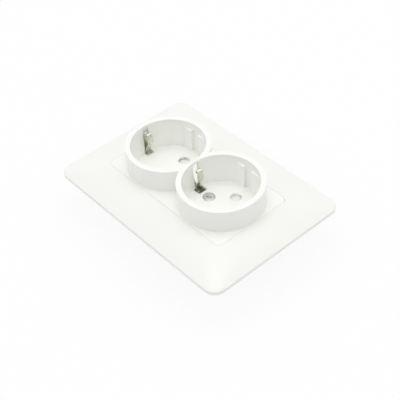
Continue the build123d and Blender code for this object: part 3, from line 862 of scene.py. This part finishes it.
def tongue(name, cup_x, away, start_z, thickness):
    """A tongue from under the floor up to its curl, which turns away from the plug."""
    points = [
        (cup_x + away * ROOT_OFFSET, start_z),
        (cup_x + away * ROOT_OFFSET, BEND_Z),
        (cup_x + away * THROAT_OFFSET, THROAT_Z),
        (cup_x + away * TIP_OFFSET, TIP_Z),
    ]
    upright(name, points, -away * CLIP_SHIFT, thickness, -away * CURL_TURN)


for number, side in ((1, -1), (2, 1)):
    tongue(f"outer_clip_{number}", side * CUP_X, side, STRAP_OUTER_Z, STRAP_THICKNESS)
    centre_z = STRAP_Z + STRAP_THICKNESS
    tongue(f"centre_clip_{number}", side * CUP_X, -side, centre_z, CLIP_THICKNESS)
    leaf = [(side * LEAF_X, STRAP_OUTER_Z), (side * LEAF_X, LEAF_TOP)]
    upright(f"wall_leaf_{number}", leaf, -side * CLIP_SHIFT, STRAP_THICKNESS)

half_strap = [
    (RISE_START, STRAP_Z),
    (RISE_END, STRAP_OUTER_Z),
    (LEAF_X + STRAP_THICKNESS / 2, STRAP_OUTER_Z),
]
points = [(-x, z) for x, z in reversed(half_strap)] + half_strap
strap = start_strip(points, STRAP_WIDTH).through(points, STRAP_THICKNESS)
strap = strap.finish("long_strap", STRAP_THICKNESS)
dress(strap, clip_metal, "earth_brass", "housing", "earth_strap")

saddle_z = STRAP_Z + (STRAP_THICKNESS + CLIP_THICKNESS) / 2
saddle_end = CUP_X - ROOT_OFFSET + CLIP_THICKNESS / 2
points = [(-saddle_end, saddle_z), (saddle_end, saddle_z)]
saddle = start_strip(points, SADDLE_WIDTH).through(points, CLIP_THICKNESS)
saddle = saddle.finish("clip_saddle", CLIP_THICKNESS)
dress(saddle, clip_metal, "earth_brass", "housing", "centre_earth_clip")

FOOT_Z = -1.4 * MM
FOOT_START = 18.4 * MM
FOOT_END = 15.0 * MM
for number, side in ((1, -1), (2, 1)):
    x = side * CUP_X
    points = [(x - side * FOOT_START, FOOT_Z), (x - side * FOOT_END, FOOT_Z)]
    foot = start_strip(points, SADDLE_WIDTH).through(points, CLIP_THICKNESS)
    bmesh.ops.translate(foot.bm, vec=(0, side * CLIP_SHIFT, 0), verts=foot.bm.verts)
    foot = foot.finish(f"clip_foot_{number}", CLIP_THICKNESS)
    dress(foot, clip_metal, "earth_brass", "housing")

# %% [markdown]
# ## Earth tab and screw collars
#
# A tab leads from the strap over to the earth terminal and down in front of it. The two short
# collars under the strap are drawn out of it, so that the cover screws find enough thread.

# %% Tab and collars
TAB_X = -8.5 * MM
TAB_FACE = 15.5 * MM
TAB_LOW = -15.85 * MM
COLLAR_RADIUS = 2.6 * MM
COLLAR_BORE = 1.5 * MM
COLLAR_LENGTH = 2.2 * MM
strap_top = STRAP_Z + STRAP_THICKNESS / 2
strap_low = STRAP_Z - STRAP_THICKNESS / 2
half = STRAP_WIDTH / 2
bm = bmesh.new()
block(bm, (TAB_X - half, 0, strap_low), (TAB_X + half, TAB_FACE, strap_top))
tab = raw_object("strap_tab", bm)
bm = bmesh.new()
block(
    bm,
    (TAB_X - half, TAB_FACE - STRAP_THICKNESS, TAB_LOW),
    (TAB_X + half, TAB_FACE, strap_top),
)
combine(tab, raw_object("tab_leg", bm), "UNION")
for side in SIDES:
    low = strap_low - COLLAR_LENGTH
    bm = bmesh.new()
    cylinder(bm, side * SCREW_X, 0, COLLAR_RADIUS, COLLAR_RADIUS, low, strap_top, 48)
    combine(tab, raw_object("collar", bm), "UNION")
    bm = bmesh.new()
    cylinder(bm, side * SCREW_X, 0, COLLAR_BORE, COLLAR_BORE, low - MM, strap_top + MM, 48)
    combine(tab, raw_object("thread_bore", bm), "DIFFERENCE")
dress(tab, clip_metal, "earth_brass", "housing")

# %% [markdown]
# ## Cover screws
#
# Two plated screws with a cross recess hold the insert down. The head is a short disc with a
# rounded rim, sunk level with the floor, and the cross is cut by two tapered blades.

# %% Cover screws
HEAD_RADIUS = 3.1 * MM
HEAD_HEIGHT = 1.1 * MM
SHANK_RADIUS = 1.5 * MM
SHANK_LENGTH = 9.0 * MM
CROSS_LENGTH = 4.0 * MM
CROSS_WIDTH = 0.9 * MM
CROSS_DEPTH = 0.8 * MM
CROSS_TURN = 0.6
BLADE_TAPER = (0.45, 0.7, 1)
HEAD_ROUND = 0.25 * MM
TIP_ROUND = 0.3 * MM
SHANK_INTO_HEAD = 0.5 * MM
for number, side in ((1, -1), (2, 1)):
    bm = bmesh.new()
    seat = FLOOR_Z - HEAD_HEIGHT
    cylinder(bm, side * SCREW_X, 0, HEAD_RADIUS, HEAD_RADIUS, seat, FLOOR_Z, 64)
    round_edges(bm, HEAD_ROUND, 3, lambda edge: at_height(edge, FLOOR_Z))
    head = raw_object(f"cover_screw_{number}", bm)
    bm = bmesh.new()
    tip = seat - SHANK_LENGTH
    top = seat + SHANK_INTO_HEAD
    cylinder(bm, side * SCREW_X, 0, SHANK_RADIUS, SHANK_RADIUS, tip, top, 32)
    round_edges(bm, TIP_ROUND, 2, lambda edge: at_height(edge, tip))
    combine(head, raw_object("shank", bm), "UNION")
    for turned in (0, 1):
        bm = bmesh.new()
        verts = block(
            bm,
            (-CROSS_LENGTH / 2, -CROSS_WIDTH / 2, FLOOR_Z - CROSS_DEPTH),
            (CROSS_LENGTH / 2, CROSS_WIDTH / 2, FLOOR_Z + MM),
        )
        low = [vert for vert in verts if vert.co.z < FLOOR_Z]
        bmesh.ops.scale(bm, vec=BLADE_TAPER, verts=low)
        spin = Matrix.Rotation(math.pi / 2 * turned + CROSS_TURN, 4, "Z")
        bmesh.ops.transform(bm, matrix=spin, verts=verts)
        bmesh.ops.translate(bm, vec=(side * SCREW_X, 0, 0), verts=verts)
        combine(head, raw_object("blade", bm), "DIFFERENCE")
    stands_for = ["cover_screws"] if number == 1 else []
    dress(head, screw_zinc, "screw_steel", "housing", *stands_for)

# %% [markdown]
# ## The pieces that stay as the frame has them
#
# What lies behind the cover is plain: flat plates, blocks and strips. The frame's own pieces are
# right for those, so they get a finish and a fine bevel on their edges.

# %% Finish the frame's own pieces
FINISHES = {
    "shutter_1": shutter_white,
    "shutter_2": shutter_white,
    "shutter_springs_1": spring_wire,
    "shutter_springs_2": spring_wire,
    "contact_cover": inner_grey,
    "socket_base": base_grey,
    "line_contact_bar": contact_brass,
    "neutral_contact_bar": contact_brass,
    "contact_spring_clips": spring_wire,
    "clip_rivet": contact_brass,
    "line_terminal": contact_brass,
    "neutral_terminal": contact_brass,
    "earth_terminal": contact_brass,
    "terminal_screws": screw_zinc,
    "base_screws": screw_zinc,
    "support_plate": plate_zinc,
}
SOFT_EDGE = 0.15 * MM
BRASS_EDGE = 0.08 * MM
SOFT_LIMIT = math.radians(40)
for name, finish in FINISHES.items():
    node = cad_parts[name]
    for place in node.material_slots:
        place.material = finish
    if finish is spring_wire:
        continue
    joined = node.modifiers.new("joined", "WELD")
    joined.merge_threshold = MERGE
    soft = node.modifiers.new("soft_edges", "BEVEL")
    soft.width = BRASS_EDGE if finish is contact_brass else SOFT_EDGE
    soft.segments = 2
    soft.limit_method = "ANGLE"
    soft.angle_limit = SOFT_LIMIT
print("finished as they are:", len(FINISHES), "nodes")

# %% [markdown]
# ## Ramp faces
#
# The photo shows a light surface close under the pin holes, and the frame's ramps lie deeper and
# look dark. A wedge is laid on each ramp for the look alone. It makes the ramp too flat for a pin
# to push, so the construction model keeps the working one.

# %% Raised ramp faces
SHUTTER_CLEARANCE = 0.15 * MM
SHUTTER_TOP = UNDER_Z - SHUTTER_CLEARANCE
RAMP_TOP = 3.2 * MM
TOE = 3.88 * MM
TOE_LOW = -2.0 * MM
TOE_HIGH = 0.1 * MM
ARM_WIDTH = 8.1 * MM
for number, side in ((1, -1), (2, 1)):
    bm = bmesh.new()
    for across in SIDES:
        y = across * PIN_OFFSET - ARM_WIDTH / 2
        corners = ((TOE, TOE_LOW), (TOE, TOE_HIGH), (-RAMP_TOP, SHUTTER_TOP))
        verts = [bm.verts.new((side * (CUP_X + x), y, z)) for x, z in corners]
        face = bmesh.ops.contextual_create(bm, geom=verts)["faces"][0]
        grown = bmesh.ops.extrude_face_region(bm, geom=[face])["geom"]
        moved = [one for one in grown if isinstance(one, bmesh.types.BMVert)]
        bmesh.ops.translate(bm, vec=(0, ARM_WIDTH, 0), verts=moved)
    wedge = raw_object(f"ramp_faces_{number}", bm)
    dress(wedge, shutter_white, "shutter_plastic", f"shutter_{number}")

# %% [markdown]
# ## Table, light and camera
#
# The photo is a product shot on white: a table that fades into the background, and light from a
# large soft source above. The table is plain white paint mixed with a white glow that only the
# camera and reflections see, so it fades into the background and still takes a soft shadow.


# %% Table
def seen_rays(tree):
    """One for rays from the camera, from gloss or through glass, nought for the rest."""
    path = tree.nodes.new("ShaderNodeLightPath")
    seen = Value(tree, path.outputs["Is Camera Ray"])
    seen = seen.maths("MAXIMUM", seen, Value(tree, path.outputs["Is Glossy Ray"]))
    return seen.maths("MAXIMUM", seen, Value(tree, path.outputs["Is Transmission Ray"]))


FLOOR_LEVEL = cad_bounds[0][2]
TABLE_SIDE = 3.0
TABLE_COLOUR = (0.95, 0.95, 0.95, 1)
TABLE_ROUGHNESS = 0.9
TABLE_SPECULAR = 0.1
GLOW_SHARE = 0.9
bm = bmesh.new()
bmesh.ops.create_grid(bm, x_segments=1, y_segments=1, size=TABLE_SIDE)
bmesh.ops.translate(bm, vec=(0, 0, FLOOR_LEVEL), verts=bm.verts)
table = raw_object("table", bm)
material = bpy.data.materials.new("table_white")
material.use_nodes = True
tree = material.node_tree
shader = next(node for node in tree.nodes if node.type == "BSDF_PRINCIPLED")
shader.inputs["Base Color"].default_value = TABLE_COLOUR
shader.inputs["Roughness"].default_value = TABLE_ROUGHNESS
shader.inputs["Specular IOR Level"].default_value = TABLE_SPECULAR
seen = seen_rays(tree)
glow = seen.add_node("ShaderNodeEmission", None, Color=(1, 1, 1, 1), Strength=1.0)
mixed = seen.add_node("ShaderNodeMixShader", None, Fac=seen * GLOW_SHARE)
tree.links.new(shader.outputs[0], mixed.inputs[1])
tree.links.new(glow.outputs[0], mixed.inputs[2])
end = next(node for node in tree.nodes if node.type == "OUTPUT_MATERIAL")
tree.links.new(mixed.outputs[0], end.inputs["Surface"])
table.data.materials.append(material)

# %% [markdown]
# ## World and lamps
#
# The sky is brighter overhead than at the horizon, as under a large soft box, so that the insides
# of the recesses come out lighter than the walls outside. Three lamps add a direction to it.

# %% World and lamps
world = bpy.data.worlds.new("studio")
bpy.context.scene.world = world
world.use_nodes = True
tree = world.node_tree
background = next(node for node in tree.nodes if node.type == "BACKGROUND")
seen = seen_rays(tree)
SKY_LOW = 0.10
SKY_HIGH = 0.86
SKY_RISE = (0.05, 0.5)
direction = tree.nodes.new("ShaderNodeTexCoord")
upward = Value(tree, direction.outputs["Generated"])
split = seen.add_node("ShaderNodeSeparateXYZ", None, Vector=upward)
height = Value(tree, split.outputs["Z"])
sky = height.clamped(*SKY_RISE) * (SKY_HIGH - SKY_LOW) + SKY_LOW
link(sky.maths("MAXIMUM", sky, seen), background, "Strength")
background.inputs["Color"].default_value = (1, 1, 1, 1)


def lamp(name, place, size, power):
    """A round lamp that faces the middle of the part."""
    data = bpy.data.lights.new(name, "AREA")
    data.shape = "DISK"
    data.size = size
    data.energy = power
    light = bpy.data.objects.new(name, data)
    light.location = place
    light.rotation_euler = (-Vector(place)).to_track_quat("-Z", "Y").to_euler()
    bpy.context.scene.collection.objects.link(light)
    return light


OVERHEAD_PLACE = (-0.1, 0.12, 1.2)
OVERHEAD_SIZE = 0.8
OVERHEAD_WATTS = 2.5
SIDE_PLACE = (0.50, 0.62, 0.75)
SIDE_SIZE = 0.6
SIDE_WATTS = 0.55
side_x, side_y, side_z = SIDE_PLACE
lamp("overhead", OVERHEAD_PLACE, OVERHEAD_SIZE, OVERHEAD_WATTS)
lamp("left_side", (-side_x, -side_y, side_z), SIDE_SIZE, SIDE_WATTS)
lamp("right_side", SIDE_PLACE, SIDE_SIZE, SIDE_WATTS)
print("lamps ready")

# %% [markdown]
# ## Camera
#
# The camera's place was worked out from the photo: the two round rims and the cover's four
# corners fix its distance, its direction and a slight roll.

# %% Camera
AZIMUTH = math.radians(51.09)
ELEVATION = math.radians(43.49)
ROLL = math.radians(-3.97)
DISTANCE = 480.8 * MM
TARGET = Vector((6.97 * MM, -3.39 * MM, 0))
PHOTO_SIDE = 400
FOCAL_PIXELS = 937.0
SENSOR = 36.0
back = Vector(
    (
        math.sin(AZIMUTH) * math.cos(ELEVATION),
        -math.cos(AZIMUTH) * math.cos(ELEVATION),
        math.sin(ELEVATION),
    )
)
right = (-back).cross(Vector((0, 0, 1))).normalized()
up = right.cross(-back).normalized()
rolled_right = right * math.cos(ROLL) + up * math.sin(ROLL)
rolled_up = up * math.cos(ROLL) - right * math.sin(ROLL)
camera_data = bpy.data.cameras.new("camera")
camera_data.sensor_width = SENSOR
camera_data.lens = FOCAL_PIXELS / PHOTO_SIDE * SENSOR
camera = bpy.data.objects.new("camera", camera_data)
turn = Matrix((rolled_right, rolled_up, back)).transposed().to_4x4()
camera.matrix_world = Matrix.Translation(TARGET + back * DISTANCE) @ turn
bpy.context.scene.collection.objects.link(camera)
bpy.context.scene.camera = camera
bpy.context.scene.view_settings.view_transform = "Standard"
print("lens:", round(camera_data.lens, 1), "mm")
